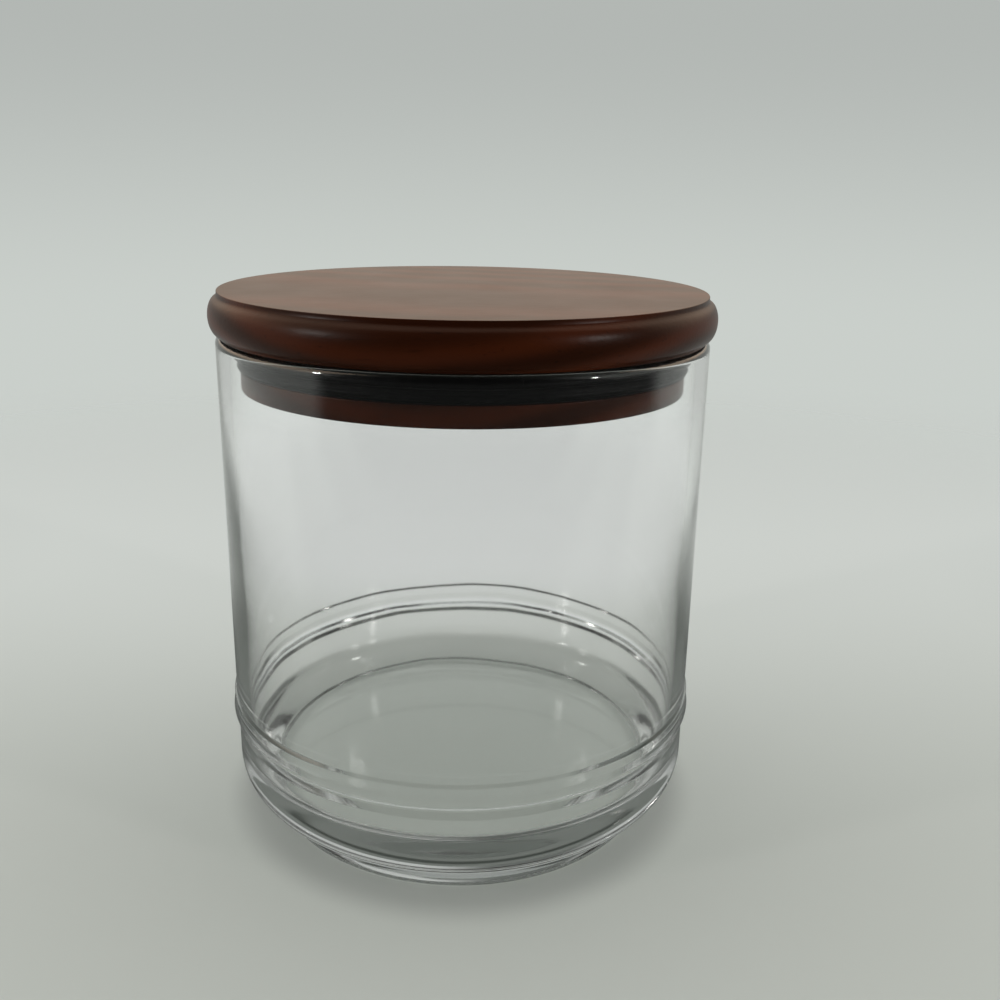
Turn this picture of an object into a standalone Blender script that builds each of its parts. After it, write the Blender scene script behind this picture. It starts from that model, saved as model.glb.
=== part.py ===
"""Glass storage canister: a pressed glass jar with a bead round its foot, and a turned
wooden lid whose plug carries a rubber seal. Metres, +Z up, origin at the foot's centre."""

import math

import bpy

# Jar: clear glass, pressed in one piece
JAR_HEIGHT = 0.1154
JAR_RADIUS = 0.0556
JAR_WALL = 0.0030
RIM_ROUND_SHARE = 0.49
FLOOR_HEIGHT = 0.0152
FLOOR_SWEEP = 0.0036
COLLAR_TOP = 0.0312
COLLAR_EDGE = 0.0003
COLLAR_PROJECTION = 0.0002
BEAD_TOP = 0.0284
BEAD_RIDGE = 0.0261
BEAD_PROJECTION = 0.0009
BEAD_ROUND = 0.0008
UNDERCUT_HEIGHT = 0.0247
UNDERCUT_DEPTH = 0.0010
SHOULDER_HEIGHT = 0.0231
SHOULDER_INSET = 0.0002
HEEL_WIDTH = 0.0082
HEEL_ANGLE = math.radians(45)
HEEL_ROUND = 0.0100
FOOT_HEIGHT = 0.0026
FOOT_STEP = 0.0005
FOOT_EDGE = 0.0010
FOOT_LAND = 0.0022
PUNT_CROWN = 0.0022

# Lid: turned from one piece of dark hardwood
LID_THICKNESS = 0.0096
LID_INSET = 0.0008
LID_TOP_EDGE = 0.0005
LID_TOP_LAND = 0.0013
LID_BULGE_DEPTH = 0.0080
LID_BULGE_PROJECTION = 0.0021
PLUG_DEPTH = 0.0112
PLUG_CLEARANCE = 0.0021
PLUG_EDGE = 0.0008
GROOVE_HEIGHT = 0.0066
GROOVE_DEPTH = 0.0019

# Seal: soft black rubber, stretched into the plug's groove
SEAL_BODY = 0.0020
SEAL_LIP_THICKNESS = 0.0014
SEAL_LIP_DROP = 0.0017
SEAL_RIB_THICKNESS = 0.0016
SEAL_RIB_PROJECTION = 0.0004
SEAL_CORNER = 0.0003

# Clearances between pieces at rest
SEAT_GAP = 0.0003
GROOVE_GAP = 0.0003
LIP_GAP = 0.0003

# Fineness of the turned shapes
TURN_STEPS = 64
ARC_STEP = math.radians(15)
HALF_ROUND_STEPS = 10
PUNT_STEPS = 6
SHARP_ANGLE = math.radians(32)
MERGE_DISTANCE = 0.00002


def clear_scene():
    for obj in list(bpy.data.objects):
        bpy.data.objects.remove(obj, do_unlink=True)


def fillet(before, corner, after, radius):
    """Points of the arc that rounds a corner of the section between its two neighbours."""
    start = math.atan2(before[1] - corner[1], before[0] - corner[0])
    end = math.atan2(after[1] - corner[1], after[0] - corner[0])
    opening = (end - start + math.pi) % (2 * math.pi) - math.pi
    if radius == 0 or abs(opening) >= math.pi:
        return [corner]
    bisector = start + opening / 2
    reach = radius / math.sin(abs(opening) / 2)
    centre = (corner[0] + reach * math.cos(bisector), corner[1] + reach * math.sin(bisector))
    turn = math.pi - abs(opening)
    steps = max(1, math.ceil(turn / ARC_STEP))
    middle = bisector + math.pi
    sign = -1 if opening > 0 else 1
    angles = [middle + sign * turn * (step / steps - 1 / 2) for step in range(steps + 1)]
    arc = [(centre[0] + radius * math.cos(a), centre[1] + radius * math.sin(a)) for a in angles]
    first, last = arc[0], arc[-1]
    return arc if math.dist(first, before) < math.dist(last, before) else arc[::-1]


def section(corners, closed=False):
    """A section's points, from corners given as (radius, height) or (radius, height, fillet)."""
    points = []
    count = len(corners)
    for index, corner in enumerate(corners):
        place = corner[:2]
        rounding = corner[2] if len(corner) > 2 else 0
        at_end = not closed and index in (0, count - 1)
        if at_end:
            points.append(place)
        else:
            before = corners[index - 1][:2]
            after = corners[(index + 1) % count][:2]
            points.extend(fillet(before, place, after, rounding))
    return points


def half_round(radius, high, low, projection):
    """Points down a half-round that stands out from a wall of this radius."""
    middle = (high + low) / 2
    half = (high - low) / 2
    angles = [math.pi * step / HALF_ROUND_STEPS for step in range(HALF_ROUND_STEPS + 1)]
    return [(radius + projection * math.sin(a), middle + half * math.cos(a)) for a in angles]


def turned(name, points, material, collection, closed=False):
    """A solid of revolution about Z, from a section that runs down its outer side."""
    edges = [(index, index + 1) for index in range(len(points) - 1)]
    if closed:
        edges.append((len(points) - 1, 0))
    mesh = bpy.data.meshes.new(name)
    mesh.from_pydata([(radius, 0, height) for radius, height in points], edges, [])
    obj = bpy.data.objects.new(name, mesh)
    collection.objects.link(obj)
    screw = obj.modifiers.new("turn", "SCREW")
    screw.axis = "Z"
    screw.steps = TURN_STEPS
    screw.render_steps = TURN_STEPS
    screw.use_merge_vertices = True
    screw.merge_threshold = MERGE_DISTANCE
    screw.use_smooth_shade = True
    bpy.context.view_layer.update()
    graph = bpy.context.evaluated_depsgraph_get()
    made = bpy.data.meshes.new_from_object(obj.evaluated_get(graph))
    obj.modifiers.remove(screw)
    obj.data = made
    bpy.data.meshes.remove(mesh)
    made.name = name
    made.shade_smooth()
    made.set_sharp_from_angle(angle=SHARP_ANGLE)
    made.materials.clear()
    made.materials.append(material)
    return obj


def finish(name, colour, roughness, metallic=0, transmission=0, ior=1.5):
    """A Principled material."""
    material = bpy.data.materials.new(name)
    material.use_nodes = True
    shader = material.node_tree.nodes["Principled BSDF"]
    shader.inputs["Base Color"].default_value = (*colour, 1)
    shader.inputs["Roughness"].default_value = roughness
    shader.inputs["Metallic"].default_value = metallic
    shader.inputs["Transmission Weight"].default_value = transmission
    shader.inputs["IOR"].default_value = ior
    material.diffuse_color = (*colour, 1)
    return material


def jar_section():
    """From the floor's centre up the inner wall, over the rim, down the outside and under the foot.
    The underside is a shallow dome."""
    inner = JAR_RADIUS - JAR_WALL
    rim_round = JAR_WALL * RIM_ROUND_SHARE
    collar = JAR_RADIUS + COLLAR_PROJECTION
    shoulder = JAR_RADIUS - SHOULDER_INSET
    heel_foot = JAR_RADIUS - HEEL_WIDTH
    heel_corner = FOOT_HEIGHT + (shoulder - heel_foot) / math.tan(HEEL_ANGLE)
    foot = heel_foot - FOOT_STEP
    punt = foot - FOOT_EDGE - FOOT_LAND
    shares = [1 - step / PUNT_STEPS for step in range(1, PUNT_STEPS + 1)]
    return section([
        (0, FLOOR_HEIGHT),
        (inner, FLOOR_HEIGHT, FLOOR_SWEEP),
        (inner, JAR_HEIGHT, rim_round),
        (JAR_RADIUS, JAR_HEIGHT, rim_round),
        (JAR_RADIUS, COLLAR_TOP),
        (collar, COLLAR_TOP - COLLAR_EDGE),
        (collar, BEAD_TOP),
        (JAR_RADIUS + BEAD_PROJECTION, BEAD_RIDGE, BEAD_ROUND),
        (JAR_RADIUS - UNDERCUT_DEPTH, UNDERCUT_HEIGHT),
        (shoulder, SHOULDER_HEIGHT),
        (shoulder, heel_corner, HEEL_ROUND),
        (heel_foot, FOOT_HEIGHT),
        (foot, FOOT_HEIGHT),
        (foot, 0, FOOT_EDGE),
        (punt, 0),
        *[(punt * share, PUNT_CROWN * (1 - share ** 2)) for share in shares],
    ])


def lid_section():
    """Heights are from the face that sits on the rim: cap above it, grooved plug below it."""
    edge = JAR_RADIUS - LID_INSET
    plug = JAR_RADIUS - JAR_WALL - PLUG_CLEARANCE
    groove = plug - GROOVE_DEPTH
    bulge_top = LID_THICKNESS - LID_TOP_LAND
    return section([
        (0, LID_THICKNESS),
        (edge, LID_THICKNESS, LID_TOP_EDGE),
        *half_round(edge, bulge_top, bulge_top - LID_BULGE_DEPTH, LID_BULGE_PROJECTION),
        (edge, 0),
        (groove, 0),
        (groove, -GROOVE_HEIGHT),
        (plug, -GROOVE_HEIGHT),
        (plug, -PLUG_DEPTH, PLUG_EDGE),
        (0, -PLUG_DEPTH),
    ])


def seal_section():
    """A band in the groove, with a soft lip that reaches for the glass and a low rib under it."""
    inner = JAR_RADIUS - JAR_WALL - PLUG_CLEARANCE - GROOVE_DEPTH + GROOVE_GAP
    body = inner + SEAL_BODY
    lip = JAR_RADIUS - JAR_WALL - LIP_GAP
    rib = body + SEAL_RIB_PROJECTION
    top = -GROOVE_GAP
    foot = GROOVE_GAP - GROOVE_HEIGHT
    lip_top = top - SEAL_LIP_DROP
    lip_foot = lip_top - SEAL_LIP_THICKNESS
    rib_foot = foot + SEAL_CORNER
    rib_top = rib_foot + SEAL_RIB_THICKNESS
    lip_round = SEAL_LIP_THICKNESS * RIM_ROUND_SHARE
    return section([
        (inner, top),
        (body, top, SEAL_CORNER),
        (body, lip_top),
        (lip, lip_top, lip_round),
        (lip, lip_foot, lip_round),
        (body, lip_foot),
        *half_round(body, rib_top, rib_foot, rib - body),
        (body, foot),
        (inner, foot),
    ], closed=True)


def main():
    clear_scene()
    parts = bpy.data.collections.new("glass_storage_canister")
    bpy.context.scene.collection.children.link(parts)

    glass = finish("clear_glass", (0.94, 0.97, 0.95), 0.02, transmission=1, ior=1.52)
    wood = finish("dark_turned_wood", (0.085, 0.030, 0.016), 0.36)
    rubber = finish("black_rubber", (0.012, 0.012, 0.012), 0.5)

    turned("glass_jar", jar_section(), glass, parts)
    lid = turned("wooden_lid", lid_section(), wood, parts)
    seal = turned("seal_ring", seal_section(), rubber, parts, closed=True)

    # The lid and its seal lift together along the jar's axis, from the rim
    lift = bpy.data.objects.new("lid_lift", None)
    parts.objects.link(lift)
    lift.location = (0, 0, JAR_HEIGHT + SEAT_GAP)
    for piece in (lid, seal):
        piece.parent = lift
    bpy.context.view_layer.update()


main()
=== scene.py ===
"""Looks of the glass storage canister: a pressed glass jar, a turned wooden lid and its rubber
seal, on a pale floor under two soft lamps. Metres, +Z up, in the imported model's own frame."""

import math

import bpy
import numpy as np
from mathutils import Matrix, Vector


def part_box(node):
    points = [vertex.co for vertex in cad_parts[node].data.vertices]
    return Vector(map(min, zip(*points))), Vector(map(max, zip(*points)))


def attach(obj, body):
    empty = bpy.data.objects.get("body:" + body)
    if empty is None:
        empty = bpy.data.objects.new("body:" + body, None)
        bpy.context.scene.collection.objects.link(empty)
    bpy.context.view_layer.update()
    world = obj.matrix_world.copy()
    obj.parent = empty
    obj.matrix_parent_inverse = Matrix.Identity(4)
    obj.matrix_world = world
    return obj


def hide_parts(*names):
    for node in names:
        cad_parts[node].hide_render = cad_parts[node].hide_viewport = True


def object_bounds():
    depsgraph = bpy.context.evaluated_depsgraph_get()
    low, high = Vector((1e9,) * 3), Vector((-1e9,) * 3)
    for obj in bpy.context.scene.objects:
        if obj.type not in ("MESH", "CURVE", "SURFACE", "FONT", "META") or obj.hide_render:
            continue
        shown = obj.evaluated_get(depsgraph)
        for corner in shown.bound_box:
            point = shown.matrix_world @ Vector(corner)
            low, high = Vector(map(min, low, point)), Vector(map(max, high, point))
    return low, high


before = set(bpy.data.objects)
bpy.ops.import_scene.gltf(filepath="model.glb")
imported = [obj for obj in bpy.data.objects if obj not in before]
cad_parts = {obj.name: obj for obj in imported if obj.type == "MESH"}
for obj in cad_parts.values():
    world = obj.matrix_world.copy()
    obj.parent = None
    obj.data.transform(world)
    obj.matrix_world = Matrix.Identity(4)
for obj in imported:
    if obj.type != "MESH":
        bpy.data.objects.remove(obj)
cad_low, cad_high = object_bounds()


# Glass jar
# One piece of clear soda glass, pressed in a mould and fire polished: a straight wall with a
# rounded rim, a thin bead with an undercut above the heel, and a thick base on a narrow foot.
jar_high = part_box("glass_jar")[1]
JAR_RADIUS = 0.0556
COLLAR_TOP = 0.0314
COLLAR_EDGE = 0.0008
COLLAR_PROJECTION = 0.0005
COLLAR_ROUND = 0.0005
BEAD_TOP = 0.0284
BEAD_TOP_ROUND = 0.0010
BEAD_RIDGE = 0.0261
BEAD_PROJECTION = 0.00096
BEAD_ROUND = 0.0013
UNDERCUT_HEIGHT = 0.0247
UNDERCUT_DEPTH = 0.0012
UNDERCUT_ROUND = 0.0008
SHOULDER_HEIGHT = 0.0228
SHOULDER_INSET = 0.0002
SHOULDER_ROUND = 0.0006
WALL = 0.0030
RIM_ROUND_SHARE = 0.49
FLOOR_HEIGHT = 0.0152
FLOOR_SWEEP = 0.0036
HEEL_WIDTH = 0.0082
HEEL_ROUND = 0.0100
FOOT_HEIGHT = 0.0026
FOOT_STEP = 0.0005
FOOT_NOTCH_ROUND = 0.0002
FOOT_EDGE = 0.0010
FOOT_LAND = 0.0022
PUNT_CROWN = 0.0008
PUNT_STEPS = 28
GLASS_SPACING = 0.0015
GLASS_TURNS = 288
ARC_STEP = math.radians(6)
HALF_ROUND_STEPS = 28
RIPPLE_DEPTH = 0.00002
RIPPLE_WAVES = ((3, 1, 0, 1), (7, -2, 1, 1), (13, 3, 2, 0.5))
RIPPLE_MARGIN = 0.00003
GLASS_COLOUR = (0.993, 0.997, 0.995, 1)
GLASS_IOR = 1.52
GLASS_ROUGHNESS = 0.04
GLASS_MARKS = 0.02
GLASS_MARKS_PER_METRE = 45.0
MARKS_DETAIL = 4.0
NOISE_MIDDLE = 0.5
GLASS_SKIN_PER_METRE = 90.0
GLASS_SKIN_DETAIL = 1.0
GLASS_SKIN_STRENGTH = 0.02
GLASS_SKIN_DEPTH = 0.001
SHADOW_TINT_FACING = (0.97, 0.98, 0.975, 1)
SHADOW_TINT_EDGE = (0.76, 0.775, 0.765, 1)
SHADOW_TINT_BASE = (0.90, 0.91, 0.905, 1)
SHADOW_EDGE_BLEND = 0.35


def rounded_line(corners, spacing):
    """A section's line, from corners given as (radius, height, rounding). A corner's arc has its
    centre on the bisector, at the rounding over the sine of half the opening, and touches both
    sides at the rounding over the tangent of half the opening. Stretches between arcs are split
    evenly, in steps no longer than the spacing."""
    places = np.array([corner[:2] for corner in corners])
    line = [places[:1]]
    for index in range(1, len(corners)):
        place = places[index]
        rounding = corners[index][2] if index < len(corners) - 1 else 0
        arc = place[None]
        if rounding:
            back = places[index - 1] - place
            on = places[index + 1] - place
            back /= np.linalg.norm(back)
            on /= np.linalg.norm(on)
            half = math.acos(back @ on) / 2
            centre = place + (back + on) / np.linalg.norm(back + on) * rounding / math.sin(half)
            ends = place + np.array([back, on]) * rounding / math.tan(half) - centre
            start, end = np.arctan2(ends[:, 1], ends[:, 0])
            turn = (end - start + math.pi) % (2 * math.pi) - math.pi
            angles = start + turn * np.linspace(0, 1, math.ceil(abs(turn) / ARC_STEP) + 1)
            arc = centre + rounding * np.column_stack([np.cos(angles), np.sin(angles)])
        run = arc[0] - line[-1][-1]
        steps = max(1, math.ceil(np.linalg.norm(run) / spacing))
        shares = np.linspace(0, 1, steps + 1)[1:-1, None]
        line.append(line[-1][-1] + run * shares)
        line.append(arc)
    return np.concatenate([stretch for stretch in line if len(stretch)])


def soft_half_round(wall, middle, depth, projection, softness):
    """A half-round down a wall, softened where it leaves it. With u the height from its middle
    over half its depth, the plain one stands out by the projection times the root of 1 - u², whose
    integral is half of u times that root plus half the arcsine of u. The soft one is the mean over
    a short height: the integral's rise over that height, divided by it."""
    half = depth / 2
    reach = softness / half
    u = np.linspace(1 + reach, -1 - reach, HALF_ROUND_STEPS + 1)
    high, low = np.clip(u + reach, -1, 1), np.clip(u - reach, -1, 1)
    risen = high * np.sqrt(1 - high**2) + np.arcsin(high)
    sunk = low * np.sqrt(1 - low**2) + np.arcsin(low)
    share = (risen - sunk) / (4 * reach)
    return np.column_stack([wall + projection * share, middle + half * u])


def turned_piece(name, section, turns, closed=False, swell=0):
    """A surface of revolution. The point at one place of the section and one angle lies at the
    section's radius times the angle's cosine and sine, at the section's height; swell adds to the
    radius. An open section starts and ends on the axis, in one point each; a closed one joins its
    last point to its first. Its outer side runs down, so the faces look out."""
    angles = np.linspace(0, 2 * math.pi, turns, endpoint=False)
    radius = section[:, 0, None] + swell * np.ones((1, turns))
    height = np.broadcast_to(section[:, 1, None], radius.shape)
    grid = np.stack([radius * np.cos(angles), radius * np.sin(angles), height], axis=-1)
    rings = grid if closed else grid[1:-1]
    count = len(rings)
    index = np.arange(count * turns).reshape(count, turns)
    lower = np.roll(index, -1, axis=0) if closed else index[1:]
    upper = index if closed else index[:-1]
    ahead = [np.roll(part, -1, axis=1) for part in (upper, lower)]
    faces = np.stack([upper, lower, ahead[1], ahead[0]], axis=-1).reshape(-1, 4).tolist()
    points = rings.reshape(-1, 3)
    if not closed:
        first, last = count * turns, count * turns + 1
        poles = np.array([[0, 0, section[0, 1]], [0, 0, section[-1, 1]]])
        points = np.concatenate([points, poles])
        start, end = index[0], index[-1]
        faces += np.column_stack([np.full(turns, first), start, np.roll(start, -1)]).tolist()
        faces += np.column_stack([np.full(turns, last), np.roll(end, -1), end]).tolist()
    mesh = bpy.data.meshes.new(name)
    mesh.from_pydata(points.tolist(), [], faces)
    mesh.shade_smooth()
    piece = bpy.data.objects.new(name, mesh)
    bpy.context.scene.collection.objects.link(piece)
    return piece


def jar_section():
    """From the floor's centre up the inner wall, over the rim, down the outside, over the bead and
    its undercut, round the heel, and under the foot to the middle of the domed underside. The heel
    slopes at half a right angle, so it rises as far as it runs in. The dome rises by its crown
    times 1 - u squared, with u the radius over the foot land's inner one."""
    inner = JAR_RADIUS - WALL
    rim = WALL * RIM_ROUND_SHARE
    collar = JAR_RADIUS + COLLAR_PROJECTION
    shoulder = JAR_RADIUS - SHOULDER_INSET
    heel_foot = JAR_RADIUS - HEEL_WIDTH
    foot = heel_foot - FOOT_STEP
    punt = foot - FOOT_EDGE - FOOT_LAND
    line = rounded_line([
        (0, FLOOR_HEIGHT, 0),
        (inner, FLOOR_HEIGHT, FLOOR_SWEEP),
        (inner, jar_high.z, rim),
        (JAR_RADIUS, jar_high.z, rim),
        (JAR_RADIUS, COLLAR_TOP, COLLAR_ROUND),
        (collar, COLLAR_TOP - COLLAR_EDGE, COLLAR_ROUND),
        (collar, BEAD_TOP, BEAD_TOP_ROUND),
        (JAR_RADIUS + BEAD_PROJECTION, BEAD_RIDGE, BEAD_ROUND),
        (JAR_RADIUS - UNDERCUT_DEPTH, UNDERCUT_HEIGHT, UNDERCUT_ROUND),
        (shoulder, SHOULDER_HEIGHT, SHOULDER_ROUND),
        (shoulder, FOOT_HEIGHT + shoulder - heel_foot, HEEL_ROUND),
        (heel_foot, FOOT_HEIGHT, FOOT_NOTCH_ROUND),
        (foot, FOOT_HEIGHT, FOOT_NOTCH_ROUND),
        (foot, 0, FOOT_EDGE),
        (punt, 0, 0),
    ], GLASS_SPACING)
    share = np.linspace(1, 0, PUNT_STEPS + 1)[1:]
    dome = np.column_stack([punt * share, PUNT_CROWN * (1 - share**2)])
    return np.concatenate([line, dome])


def inner_ripple(section, turns):
    """How far the inner wall strays from a true cylinder, as pressed glass does: the ripple depth
    times a sum of slow waves. Each is its strength times the sine of its count round the jar times
    the angle, plus its count up the jar times a full turn by height, plus its start. They fade out
    at the floor and the rim, as half a sine does."""
    angle = np.linspace(0, 2 * math.pi, turns, endpoint=False)[None]
    radius, height = section[:, 0, None], section[:, 1, None]
    inner = JAR_RADIUS - WALL
    share = np.clip((height - FLOOR_HEIGHT - FLOOR_SWEEP) / (jar_high.z - FLOOR_HEIGHT), 0, 1)
    on_wall = (np.abs(radius - inner) < RIPPLE_MARGIN) * np.sin(math.pi * share)
    climb = 2 * math.pi * share
    waves = sum(
        strength * np.sin(across * angle + upward * climb + start)
        for across, upward, start, strength in RIPPLE_WAVES
    )
    return RIPPLE_DEPTH * on_wall * waves


def add_node(tree, kind, inputs=None, **settings):
    """Adds a shader node and fills its inputs with values, or with links from other sockets."""
    node = tree.nodes.new(kind)
    for name, value in settings.items():
        setattr(node, name, value)
    for name, value in (inputs or {}).items():
        if isinstance(value, bpy.types.NodeSocket):
            tree.links.new(value, node.inputs[name])
        else:
            node.inputs[name].default_value = value
    return node


def maths(tree, operation, *values, **settings):
    """The result of a sum on one to three values."""
    inputs = dict(enumerate(values))
    return add_node(tree, "ShaderNodeMath", inputs, operation=operation, **settings).outputs[0]


def ramp(tree, value, start, end):
    """A smooth run from 0 to 1 as a value goes from start to end."""
    return add_node(tree, "ShaderNodeMapRange", {
        "Value": value,
        "From Min": start,
        "From Max": end,
    }, interpolation_type="SMOOTHSTEP").outputs[0]


def blend(tree, share, first, second):
    """A colour between two, by the second one's share."""
    inputs = {0: share, 6: first, 7: second}
    return add_node(tree, "ShaderNodeMix", inputs, data_type="RGBA").outputs[2]


def handling_marks():
    """A group that varies a finish's roughness in soft patches, as wiping and handling do: it adds
    the change times a noise about zero."""
    group = bpy.data.node_groups.new("handling_marks", "ShaderNodeTree")
    for name in ("Roughness", "Change", "Patches per metre"):
        group.interface.new_socket(name, in_out="INPUT", socket_type="NodeSocketFloat")
    group.interface.new_socket("Roughness", in_out="OUTPUT", socket_type="NodeSocketFloat")
    given = group.nodes.new("NodeGroupInput").outputs
    place = add_node(group, "ShaderNodeTexCoord").outputs["Object"]
    noise = add_node(group, "ShaderNodeTexNoise", {
        "Vector": place,
        "Scale": given["Patches per metre"],
        "Detail": MARKS_DETAIL,
    })
    centred = maths(group, "SUBTRACT", noise.outputs["Fac"], NOISE_MIDDLE)
    change, plain = given["Change"], given["Roughness"]
    varied = maths(group, "MULTIPLY_ADD", centred, change, plain, use_clamp=True)
    out = group.nodes.new("NodeGroupOutput")
    group.links.new(varied, out.inputs["Roughness"])
    return group


marks_group = handling_marks()


def marked(tree, roughness, change, patches):
    """The marks group placed in a material with its own values, and the roughness it gives."""
    return add_node(tree, "ShaderNodeGroup", {
        "Roughness": roughness,
        "Change": change,
        "Patches per metre": patches,
    }, node_tree=marks_group).outputs["Roughness"]


def new_finish(name):
    """A material with an empty node tree, and its output node."""
    finish = bpy.data.materials.new(name)
    finish.use_nodes = True
    tree = finish.node_tree
    tree.nodes.clear()
    return finish, tree, tree.nodes.new("ShaderNodeOutputMaterial")


def pressed_glass():
    """Clear glass with the faint unevenness of a fire-polished skin. Shadow rays, and rays that a
    matt surface sends out for its light, go straight through, and lose more at the jar's edges and
    in its base."""
    finish, tree, out = new_finish("pressed_glass")
    place = add_node(tree, "ShaderNodeTexCoord").outputs["Object"]
    skin = add_node(tree, "ShaderNodeTexNoise", {
        "Vector": place,
        "Scale": GLASS_SKIN_PER_METRE,
        "Detail": GLASS_SKIN_DETAIL,
    })
    bump = add_node(tree, "ShaderNodeBump", {
        "Strength": GLASS_SKIN_STRENGTH,
        "Distance": GLASS_SKIN_DEPTH,
        "Height": skin.outputs["Fac"],
    })
    glass = add_node(tree, "ShaderNodeBsdfPrincipled", {
        "Base Color": GLASS_COLOUR,
        "Roughness": marked(tree, GLASS_ROUGHNESS, GLASS_MARKS, GLASS_MARKS_PER_METRE),
        "IOR": GLASS_IOR,
        "Transmission Weight": 1.0,
        "Normal": bump.outputs["Normal"],
    })
    facing = add_node(tree, "ShaderNodeLayerWeight", {"Blend": SHADOW_EDGE_BLEND}).outputs["Facing"]
    tint = blend(tree, facing, SHADOW_TINT_FACING, SHADOW_TINT_EDGE)
    height = add_node(tree, "ShaderNodeSeparateXYZ", {0: place}).outputs["Z"]
    tint = blend(tree, ramp(tree, height, SHOULDER_HEIGHT, 0.0), tint, SHADOW_TINT_BASE)
    straight = add_node(tree, "ShaderNodeBsdfTransparent", {"Color": tint})
    path = add_node(tree, "ShaderNodeLightPath")
    mixed = add_node(tree, "ShaderNodeMixShader", {
        0: maths(tree, "MAXIMUM", path.outputs["Is Shadow Ray"], path.outputs["Is Diffuse Ray"]),
        1: glass.outputs[0],
        2: straight.outputs[0],
    })
    tree.links.new(mixed.outputs[0], out.inputs["Surface"])
    return finish


jar_line = jar_section()
jar_swell = inner_ripple(jar_line, GLASS_TURNS)
jar = turned_piece("pressed_glass_jar", jar_line, GLASS_TURNS, swell=jar_swell)
jar.data.materials.append(pressed_glass())
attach(jar, "jar")
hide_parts("glass_jar")


# Wooden lid
# One piece of dark reddish hardwood, turned on a lathe and finished with a satin lacquer: a flat
# top with a half-round bulge round its edge, and a grooved plug that reaches down into the jar.
lid_low, lid_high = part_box("wooden_lid")
SEAT_GAP = 0.0003
BULGE_PROJECTION = 0.0021
BULGE_DEPTH = 0.0080
BULGE_SOFTNESS = 0.0004
TOP_LAND = 0.0013
TOP_EDGE = 0.00018
SEAT_EDGE = 0.0002
PLUG_CLEARANCE = 0.0021
PLUG_EDGE = 0.0008
GROOVE_HEIGHT = 0.0066
GROOVE_DEPTH = 0.0019
WOOD_SPACING = 0.0030
WOOD_TURNS = 288
GRAIN_TURN = math.radians(14)
PITH_SHIFT = (0, 0.018, -0.055)
RING_WIDTH = 0.0034
RING_WANDER = 3.0
WANDERS_PER_METRE = 14.0
GRAIN_DETAIL = 2.0
LATE_TO_EARLY = (0.15, 0.95)
PORES_PER_METRE = 1400.0
PORE_STRETCH = (0.06, 1, 1)
PORE_LIMITS = (0.62, 0.75)
PORE_SHARE = 0.45
FIBRE_STRENGTH = 0.25
FIBRE_DEPTH = 0.0001
LACQUER_IOR = 1.5
LACQUER_SHINE = 0.09
LACQUER_ROUGHNESS = 0.33
LACQUER_MARKS = 0.10
LACQUER_MARKS_PER_METRE = 70.0
EARLY_WOOD = (0.068, 0.0150, 0.0046, 1)
LATE_WOOD = (0.032, 0.0080, 0.0026, 1)
PORE_COLOUR = (0.012, 0.004, 0.002, 1)


def lid_section():
    """From the top's centre over the edge, down the bulge, in under it to the groove, and down
    the plug to the middle of its underside."""
    seat = jar_high.z + SEAT_GAP
    edge = lid_high.x - BULGE_PROJECTION
    plug = JAR_RADIUS - WALL - PLUG_CLEARANCE
    groove = plug - GROOVE_DEPTH
    bulge_middle = lid_high.z - TOP_LAND - BULGE_DEPTH / 2
    bulge = soft_half_round(edge, bulge_middle, BULGE_DEPTH, BULGE_PROJECTION, BULGE_SOFTNESS)
    bulge = bulge[bulge[:, 1] > seat + SEAT_EDGE]
    top = rounded_line([
        (0, lid_high.z, 0),
        (edge, lid_high.z, TOP_EDGE),
        (*bulge[0], 0),
    ], WOOD_SPACING)
    under = rounded_line([
        (*bulge[-1], 0),
        (bulge[-1, 0], seat, SEAT_EDGE / 2),
        (groove, seat, 0),
        (groove, seat - GROOVE_HEIGHT, 0),
        (plug, seat - GROOVE_HEIGHT, SEAT_EDGE),
        (plug, lid_low.z, PLUG_EDGE),
        (0, lid_low.z, 0),
    ], WOOD_SPACING)
    return np.concatenate([top[:-1], bulge, under[1:]])


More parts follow.
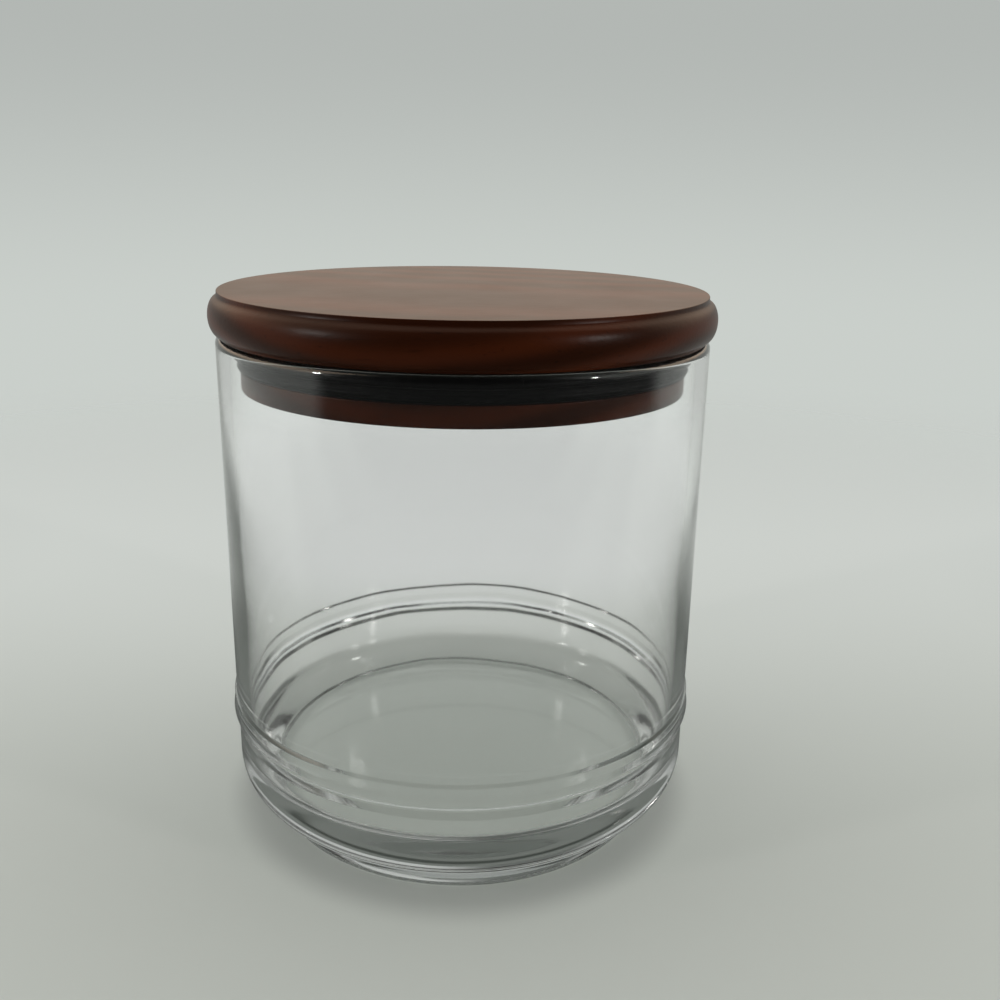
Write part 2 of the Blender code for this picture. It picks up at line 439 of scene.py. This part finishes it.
def turned_hardwood():
    """Dark hardwood under satin lacquer. Growth rings lie round a pith that runs along the board,
    below the lid, and that the shift brings to the axis. A point's ring is its distance from the
    pith over the ring width, bent by a slow noise, and its share of a ring shades late wood into
    early wood. Pores are short dark streaks along the board."""
    finish, tree, out = new_finish("turned_hardwood")
    place = add_node(tree, "ShaderNodeTexCoord").outputs["Object"]
    board = add_node(tree, "ShaderNodeMapping", {
        "Vector": place,
        "Location": PITH_SHIFT,
        "Rotation": (0, 0, GRAIN_TURN),
    })
    wander = add_node(tree, "ShaderNodeTexNoise", {
        "Vector": board.outputs[0],
        "Scale": WANDERS_PER_METRE,
        "Detail": GRAIN_DETAIL,
    })
    across = add_node(tree, "ShaderNodeSeparateXYZ", {0: board.outputs[0]})
    cross = add_node(tree, "ShaderNodeCombineXYZ", {
        "Y": across.outputs["Y"],
        "Z": across.outputs["Z"],
    })
    distance = add_node(tree, "ShaderNodeVectorMath", {0: cross.outputs[0]}, operation="LENGTH")
    ring = maths(tree, "MULTIPLY", distance.outputs["Value"], 1 / RING_WIDTH)
    bent = maths(tree, "MULTIPLY_ADD", wander.outputs["Fac"], RING_WANDER, ring)
    share = maths(tree, "PINGPONG", bent, 1.0)
    wood = blend(tree, ramp(tree, share, *LATE_TO_EARLY), LATE_WOOD, EARLY_WOOD)
    stretched = add_node(tree, "ShaderNodeMapping", {
        "Vector": board.outputs[0],
        "Scale": PORE_STRETCH,
    })
    fibre = add_node(tree, "ShaderNodeTexNoise", {
        "Vector": stretched.outputs[0],
        "Scale": PORES_PER_METRE,
        "Detail": GRAIN_DETAIL,
    })
    pores = add_node(tree, "ShaderNodeMapRange", {
        "Value": fibre.outputs["Fac"],
        "From Min": PORE_LIMITS[0],
        "From Max": PORE_LIMITS[1],
        "To Max": PORE_SHARE,
    })
    wood = blend(tree, pores.outputs[0], wood, PORE_COLOUR)
    bump = add_node(tree, "ShaderNodeBump", {
        "Strength": FIBRE_STRENGTH,
        "Distance": FIBRE_DEPTH,
        "Height": fibre.outputs["Fac"],
    })
    lacquer = add_node(tree, "ShaderNodeBsdfPrincipled", {
        "Base Color": wood,
        "Roughness": marked(tree, LACQUER_ROUGHNESS, LACQUER_MARKS, LACQUER_MARKS_PER_METRE),
        "IOR": LACQUER_IOR,
        "Specular IOR Level": LACQUER_SHINE,
        "Normal": bump.outputs["Normal"],
    })
    tree.links.new(lacquer.outputs[0], out.inputs["Surface"])
    return finish


lid = turned_piece("turned_wooden_lid", lid_section(), WOOD_TURNS)
lid.data.materials.append(turned_hardwood())
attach(lid, "lid")
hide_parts("wooden_lid")


# Seal ring
# One moulded ring of soft black rubber, stretched into the plug's groove: a flat band, a thin lip
# that reaches for the glass below the rim, and a low rib under it.
SEAL_BODY = 0.0020
LIP_THICKNESS = 0.0014
LIP_DROP = 0.0017
LIP_GAP = 0.0003
LIP_ROUND = 0.00065
RIB_THICKNESS = 0.0016
RIB_PROJECTION = 0.0004
RIB_SOFTNESS = 0.0002
SEAL_CORNER = 0.0003
RUBBER_SPACING = 0.0010
RUBBER_TURNS = 256
RUBBER_COLOUR = (0.002, 0.002, 0.002, 1)
RUBBER_IOR = 1.5
RUBBER_SHINE = 0.06
RUBBER_ROUGHNESS = 0.5
RUBBER_MARKS = 0.2
RUBBER_MARKS_PER_METRE = 120.0
RUBBER_SKIN_PER_METRE = 3000.0
RUBBER_SKIN_DETAIL = 2.0
RUBBER_SKIN_STRENGTH = 0.04
RUBBER_SKIN_DEPTH = 0.00005


def seal_section():
    """Round the ring's section: out over its top, round the lip, down the band over the rib, and
    back up the side that lies in the groove."""
    seat = jar_high.z + SEAT_GAP
    glass = JAR_RADIUS - WALL
    inner = glass - PLUG_CLEARANCE - GROOVE_DEPTH + SEAT_GAP
    body = inner + SEAL_BODY
    lip = glass - LIP_GAP
    top = seat - SEAT_GAP
    foot = seat - GROOVE_HEIGHT + SEAT_GAP
    lip_top = top - LIP_DROP
    rib_middle = foot + SEAL_CORNER + RIB_THICKNESS / 2
    rib_depth = RIB_THICKNESS - 2 * RIB_SOFTNESS
    rib = soft_half_round(body, rib_middle, rib_depth, RIB_PROJECTION, RIB_SOFTNESS)
    upper = rounded_line([
        (inner, top, 0),
        (body, top, SEAL_CORNER),
        (body, lip_top, SEAL_CORNER / 2),
        (lip, lip_top, LIP_ROUND),
        (lip, lip_top - LIP_THICKNESS, LIP_ROUND),
        (body, lip_top - LIP_THICKNESS, SEAL_CORNER / 2),
        (*rib[0], 0),
    ], RUBBER_SPACING)
    lower = rounded_line([
        (*rib[-1], 0),
        (body, foot, SEAL_CORNER / 2),
        (inner, foot, 0),
        (inner, top, 0),
    ], RUBBER_SPACING)
    return np.concatenate([upper[:-1], rib, lower[1:-1]])


def black_rubber():
    """Soft black rubber with a fine moulded skin."""
    finish, tree, out = new_finish("black_rubber")
    place = add_node(tree, "ShaderNodeTexCoord").outputs["Object"]
    skin = add_node(tree, "ShaderNodeTexNoise", {
        "Vector": place,
        "Scale": RUBBER_SKIN_PER_METRE,
        "Detail": RUBBER_SKIN_DETAIL,
    })
    bump = add_node(tree, "ShaderNodeBump", {
        "Strength": RUBBER_SKIN_STRENGTH,
        "Distance": RUBBER_SKIN_DEPTH,
        "Height": skin.outputs["Fac"],
    })
    rubber = add_node(tree, "ShaderNodeBsdfPrincipled", {
        "Base Color": RUBBER_COLOUR,
        "Roughness": marked(tree, RUBBER_ROUGHNESS, RUBBER_MARKS, RUBBER_MARKS_PER_METRE),
        "IOR": RUBBER_IOR,
        "Specular IOR Level": RUBBER_SHINE,
        "Normal": bump.outputs["Normal"],
    })
    tree.links.new(rubber.outputs[0], out.inputs["Surface"])
    return finish


seal = turned_piece("rubber_seal_ring", seal_section(), RUBBER_TURNS, closed=True)
seal.data.materials.append(black_rubber())
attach(seal, "lid")
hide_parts("seal_ring")


# Floor and backdrop
# A pale sheet of paper, with painted shade: darker towards the front, and a painted shadow round
# the foot. It fades out into the room's own grey some way off, so that no edge shows. Where the
# glass mirrors it or lets it through, it has painted tones of its own: painted light behind the
# jar, and painted dark reflections, which draw the dark edges of the wall and the heel.
FLOOR_RADIUS = 2.0
# Painted shade: the paper's colour is darker towards the front than at the back.
SHADED_FLOOR_FRONT = (0.64, 0.67, 0.62, 1)
LIT_FLOOR_BACK = (0.83, 0.87, 0.83, 1)
FRONT_TO_BACK = (-0.06, 0.20)
# Painted shadow: a darker ring round the foot.
FOOT_SHADOW_COLOUR = (0.47, 0.49, 0.46, 1)
FOOT_SHADOW_INSIDE = (0.043, 0.048)
FOOT_SHADOW_OUTSIDE = (0.061, 0.051)
# Painted light: seen through the jar, the paper behind is lighter, and the painted shadow ring is
# paler and wider.
THROUGH_LIGHT_COLOUR = (0.93, 0.96, 0.94, 1)
THROUGH_LIGHT_PLACE = (0.08, 0.16)
THROUGH_FOOT_SHADOW_COLOUR = (0.52, 0.55, 0.51, 1)
THROUGH_FOOT_SHADOW_OUTSIDE = (0.072, 0.062)
# Painted shade in reflections: the paper mirrored and seen through the jar is dim near it.
REFLECTED_SHADE_COLOUR = (0.20, 0.21, 0.195, 1)
DIM_OUTSIDE = (0.34, 0.09)
# Painted dark reflections: mirrored inside the wall, the paper is dark, drawing the wall's dark
# edges, and less dark near the heel.
EDGE_SHADE_COLOUR = (0.07, 0.08, 0.07, 1)
EDGE_OUTSIDE = (0.52, 0.29)
EDGE_FROM_LEFT = (-0.30, -0.20)
HEEL_SHADE_COLOUR = (0.22, 0.24, 0.22, 1)
HEEL_OUTSIDE = (0.150, 0.100)
# Painted dark reflection: the outer skin mirrors the paper dark near the foot.
SKIN_REFLECTION_SHADE_COLOUR = (0.16, 0.17, 0.16, 1)
SKIN_OUTSIDE = (0.20, 0.10)
# Painted dark reflection: what is mirrored from in front is unlit.
UNLIT_COLOUR = (0.03, 0.03, 0.03, 1)
UNLIT_PLACE = (-0.06, -0.11)
UNLIT_SHIFT = 0.10
FADE_OUT = (0.30, 0.60)
OUTSIDE_GLASS = (0, 1)
INSIDE_WALL = (2, 3)
THROUGH_JAR = (4, 24)
CROSSING_MARGIN = 0.25


def product(tree, first, second):
    """One value times another."""
    return maths(tree, "MULTIPLY", first, second)


def mirrored_ray(tree):
    """1 for a ray that has been mirrored on its way, and 0 for any other."""
    mirrorings = add_node(tree, "ShaderNodeLightPath").outputs["Glossy Depth"]
    return maths(tree, "GREATER_THAN", mirrorings, 0)


def glass_crossings(tree, least, most):
    """1 for a ray whose count of crossed glass surfaces lies from the least to the most, and 0 for
    any other: the count is compared with their middle, within half their span and a margin."""
    crossed = add_node(tree, "ShaderNodeLightPath").outputs["Transmission Depth"]
    return maths(tree, "COMPARE", crossed, (least + most) / 2, (most - least) / 2 + CROSSING_MARGIN)


def paper_floor():
    """Matt paper, with painted light and shade. Its colour runs from the shaded front one to the
    lit back one along Y, with a painted shadow ring round the foot, where the heel throws the light
    aside. Through the jar its back has painted light, and the painted shadow ring is paler and
    wider.
    Mirrored and seen through the jar, it has painted shade near the jar. Mirrored inside the wall,
    it is painted dark out to a distance that grows to the left, up to a limit there, and less dark
    near the heel. The outer skin mirrors it painted dark near the foot, and what is mirrored from
    in front is painted unlit. Its cover falls from full to none between two distances."""
    finish, tree, out = new_finish("paper_floor")
    place = add_node(tree, "ShaderNodeTexCoord").outputs["Object"]
    spread = add_node(tree, "ShaderNodeSeparateXYZ", {0: place})
    aside, along = spread.outputs["X"], spread.outputs["Y"]
    far = add_node(tree, "ShaderNodeVectorMath", {0: place}, operation="LENGTH").outputs["Value"]
    mirrored = mirrored_ray(tree)
    outside = product(tree, mirrored, glass_crossings(tree, *OUTSIDE_GLASS))
    in_wall = glass_crossings(tree, *INSIDE_WALL)
    through = glass_crossings(tree, *THROUGH_JAR)

    # Painted shade: darker towards the front.
    colour = blend(tree, ramp(tree, along, *FRONT_TO_BACK), SHADED_FLOOR_FRONT, LIT_FLOOR_BACK)
    # Painted shadow: a darker ring round the foot.
    beyond_foot = ramp(tree, far, *FOOT_SHADOW_INSIDE)
    ring = product(tree, beyond_foot, ramp(tree, far, *FOOT_SHADOW_OUTSIDE))
    colour = blend(tree, ring, colour, FOOT_SHADOW_COLOUR)

    # Painted light behind the jar, and a paler painted shadow ring, seen through the jar.
    painted_light_behind = product(tree, through, ramp(tree, along, *THROUGH_LIGHT_PLACE))
    colour = blend(tree, painted_light_behind, colour, THROUGH_LIGHT_COLOUR)
    ring = product(tree, beyond_foot, ramp(tree, far, *THROUGH_FOOT_SHADOW_OUTSIDE))
    colour = blend(tree, product(tree, ring, through), colour, THROUGH_FOOT_SHADOW_COLOUR)
    # Painted shade in reflections near the jar.
    reflected_shade = product(tree, mirrored, product(tree, through, ramp(tree, far, *DIM_OUTSIDE)))
    colour = blend(tree, reflected_shade, colour, REFLECTED_SHADE_COLOUR)

    # Painted dark reflections inside the wall, which draw the wall's and the heel's dark edges.
    leaning = maths(tree, "ADD", aside, far)
    edge = product(tree, ramp(tree, leaning, *EDGE_OUTSIDE), ramp(tree, aside, *EDGE_FROM_LEFT))
    edge = product(tree, mirrored, product(tree, in_wall, edge))
    shade = blend(tree, ramp(tree, far, *HEEL_OUTSIDE), EDGE_SHADE_COLOUR, HEEL_SHADE_COLOUR)
    colour = blend(tree, edge, colour, shade)

    # Painted dark reflection of the paper near the foot in the outer skin.
    skin = product(tree, outside, ramp(tree, far, *SKIN_OUTSIDE))
    colour = blend(tree, skin, colour, SKIN_REFLECTION_SHADE_COLOUR)
    # Painted dark reflection: what is mirrored from in front is unlit.
    onward = maths(tree, "MULTIPLY_ADD", in_wall, UNLIT_SHIFT, along)
    unlit = product(tree, mirrored, ramp(tree, onward, *UNLIT_PLACE))
    colour = blend(tree, unlit, colour, UNLIT_COLOUR)

    paper = add_node(tree, "ShaderNodeBsdfDiffuse", {"Color": colour})
    clear = add_node(tree, "ShaderNodeBsdfTransparent")
    mixed = add_node(tree, "ShaderNodeMixShader", {
        0: ramp(tree, far, *FADE_OUT),
        1: paper.outputs[0],
        2: clear.outputs[0],
    })
    tree.links.new(mixed.outputs[0], out.inputs["Surface"])
    return finish


floor_mesh = bpy.data.meshes.new("paper_floor")
floor_corners = np.array([(-1, -1, 0), (1, -1, 0), (1, 1, 0), (-1, 1, 0)]) * FLOOR_RADIUS
floor_mesh.from_pydata(floor_corners.tolist(), [], [(0, 1, 2, 3)])
floor = bpy.data.objects.new("paper_floor", floor_mesh)
bpy.context.scene.collection.objects.link(floor)
floor.data.materials.append(paper_floor())


# Room and lamps
# Two small soft lamps stand low at the left and the right, a little in front. The backdrop is
# pale grey and darkens as it climbs. Mirrored in the glass and the lacquer, the room is bright
# overhead and dark in front, and its own light comes from above and behind.
BACKDROP_LOW = (0.59, 0.625, 0.595, 1)
BACKDROP_HIGH = (0.45, 0.475, 0.455, 1)
BACKDROP_CLIMB = (-0.14, 0.13)
THROUGH_LEVEL = (0.76, 0.80, 0.77, 1)
MIRRORED_LEVEL = (0.48, 0.50, 0.47, 1)
OVERHEAD_LEVEL = (1.68, 1.32, 1.01, 1)
OVERHEAD_CLIMB = (0.05, 0.35)
EDGE_LEVEL = (0.50, 0.52, 0.50, 1)
LEFT_EDGE_LEVEL = (0.13, 0.14, 0.13, 1)
LEFT_FROM_MIDDLE = (0.1, -0.1)
LEFT_FROM_SIDE = (-0.50, -0.28)
FRONT_LEVEL = (0.02, 0.02, 0.02, 1)
EDGE_FRONT_LEVEL = (0.10, 0.105, 0.10, 1)
FRONT_LEAN = -0.26
FRONT_START = (-0.07, -0.21)
LIGHT_LEVEL = (0.90, 0.90, 0.90, 1)
LIGHT_FRONT_LEVEL = (0.03, 0.03, 0.03, 1)
LIGHT_FRONT_START = (0.0, -0.6)
LEFT_LAMP_AZIMUTH = math.radians(-66)
RIGHT_LAMP_AZIMUTH = math.radians(58)
LAMP_ELEVATION = math.radians(22)
LAMP_DISTANCE = 0.70
LAMP_POWER = 0.85
LAMP_DIAMETER = 0.05
LAMP_COLOUR = (1.0, 0.98, 0.95)
MOST_BOUNCES = 24
MOST_MIRRORINGS = 12


def pale_room():
    """The surroundings' brightness by direction, in three forms. The backdrop is seen straight, and
    lighter through the jar. The room is mirrored: overhead it is warm outside the glass, and from
    inside the wall it has a dark stretch at the left. The light falls on matt surfaces. The
    mirrored room and the light are dark in front."""
    world = bpy.data.worlds.new("pale_room")
    world.use_nodes = True
    world.cycles.sampling_method = "NONE"
    tree = world.node_tree
    tree.nodes.clear()
    direction = add_node(tree, "ShaderNodeSeparateXYZ", {
        0: add_node(tree, "ShaderNodeTexCoord").outputs["Generated"],
    })
    aside, forward, up = direction.outputs
    outside = glass_crossings(tree, *OUTSIDE_GLASS)
    in_wall = glass_crossings(tree, *INSIDE_WALL)
    through = glass_crossings(tree, *THROUGH_JAR)

    seen = blend(tree, ramp(tree, up, *BACKDROP_CLIMB), BACKDROP_LOW, BACKDROP_HIGH)
    seen = blend(tree, through, seen, THROUGH_LEVEL)

    overhead = product(tree, outside, ramp(tree, up, *OVERHEAD_CLIMB))
    room = blend(tree, overhead, MIRRORED_LEVEL, OVERHEAD_LEVEL)
    left = product(tree, ramp(tree, aside, *LEFT_FROM_MIDDLE), ramp(tree, aside, *LEFT_FROM_SIDE))
    room = blend(tree, in_wall, room, blend(tree, left, EDGE_LEVEL, LEFT_EDGE_LEVEL))
    leaning = maths(tree, "MULTIPLY_ADD", aside, FRONT_LEAN, forward)
    front = blend(tree, in_wall, FRONT_LEVEL, EDGE_FRONT_LEVEL)
    room = blend(tree, ramp(tree, leaning, *FRONT_START), room, front)
    seen = blend(tree, mirrored_ray(tree), seen, room)

    light = blend(tree, ramp(tree, forward, *LIGHT_FRONT_START), LIGHT_LEVEL, LIGHT_FRONT_LEVEL)
    matt = add_node(tree, "ShaderNodeLightPath").outputs["Is Diffuse Ray"]
    sky = add_node(tree, "ShaderNodeBackground", {"Color": blend(tree, matt, seen, light)})
    out = tree.nodes.new("ShaderNodeOutputWorld")
    tree.links.new(sky.outputs[0], out.inputs["Surface"])
    return world


def add_lamp(name, azimuth):
    """A round soft lamp that faces the canister's middle, at an azimuth from the front."""
    light = bpy.data.lights.new(name, "AREA")
    light.shape = "DISK"
    light.size = LAMP_DIAMETER
    light.energy = LAMP_POWER
    light.color = LAMP_COLOUR
    lamp = bpy.data.objects.new(name, light)
    bpy.context.scene.collection.objects.link(lamp)
    away = np.array([
        math.sin(azimuth) * math.cos(LAMP_ELEVATION),
        -math.cos(azimuth) * math.cos(LAMP_ELEVATION),
        math.sin(LAMP_ELEVATION),
    ])
    middle = (cad_low + cad_high) / 2
    lamp.location = middle.to_tuple() + away * LAMP_DISTANCE
    lamp.rotation_euler = (middle - lamp.location).to_track_quat("-Z", "Y").to_euler()
    lamp.visible_camera = False
    return lamp


bpy.context.scene.world = pale_room()
add_lamp("left_lamp", LEFT_LAMP_AZIMUTH)
add_lamp("right_lamp", RIGHT_LAMP_AZIMUTH)

bpy.context.scene.view_settings.view_transform = "Standard"
bpy.context.scene.cycles.max_bounces = MOST_BOUNCES
bpy.context.scene.cycles.transmission_bounces = MOST_BOUNCES
bpy.context.scene.cycles.transparent_max_bounces = MOST_BOUNCES
bpy.context.scene.cycles.glossy_bounces = MOST_MIRRORINGS
bpy.context.scene.cycles.caustics_refractive = False
bpy.context.scene.cycles.caustics_reflective = False


# Camera
# It stands where the photograph was taken: in front of the jar and a little above the lid. It
# looks down at the jar, a little to the right of its middle, and leans by a degree.
SENSOR_WIDTH = 36.0
FOCAL_SHARE = 1.053
NEAREST_SEEN = 0.01
FARTHEST_SEEN = 20.0
CAMERA_PLACE = (0, -0.2427, 0.1510)
CAMERA_DROP = math.radians(17.43)
CAMERA_TURN = math.radians(2.08)
CAMERA_ROLL = math.radians(1.00)


def add_camera():
    """The camera's forward axis is turned to the right and dropped, and its own right and up axes
    are then rolled about it."""
    camera_data = bpy.data.cameras.new("camera")
    camera_data.sensor_width = SENSOR_WIDTH
    camera_data.lens = SENSOR_WIDTH * FOCAL_SHARE
    camera_data.clip_start = NEAREST_SEEN
    camera_data.clip_end = FARTHEST_SEEN
    camera = bpy.data.objects.new("camera", camera_data)
    bpy.context.scene.collection.objects.link(camera)
    forward = np.array([
        math.sin(CAMERA_TURN) * math.cos(CAMERA_DROP),
        math.cos(CAMERA_TURN) * math.cos(CAMERA_DROP),
        -math.sin(CAMERA_DROP),
    ])
    level = np.array([math.cos(CAMERA_TURN), -math.sin(CAMERA_TURN), 0])
    upright = np.cross(level, forward)
    right = math.cos(CAMERA_ROLL) * level + math.sin(CAMERA_ROLL) * upright
    top = math.cos(CAMERA_ROLL) * upright - math.sin(CAMERA_ROLL) * level
    matrix = np.eye(4)
    matrix[:3, :3] = np.column_stack([right, top, -forward])
    matrix[:3, 3] = CAMERA_PLACE
    camera.matrix_world = matrix.T.tolist()
    return camera


bpy.context.scene.camera = add_camera()
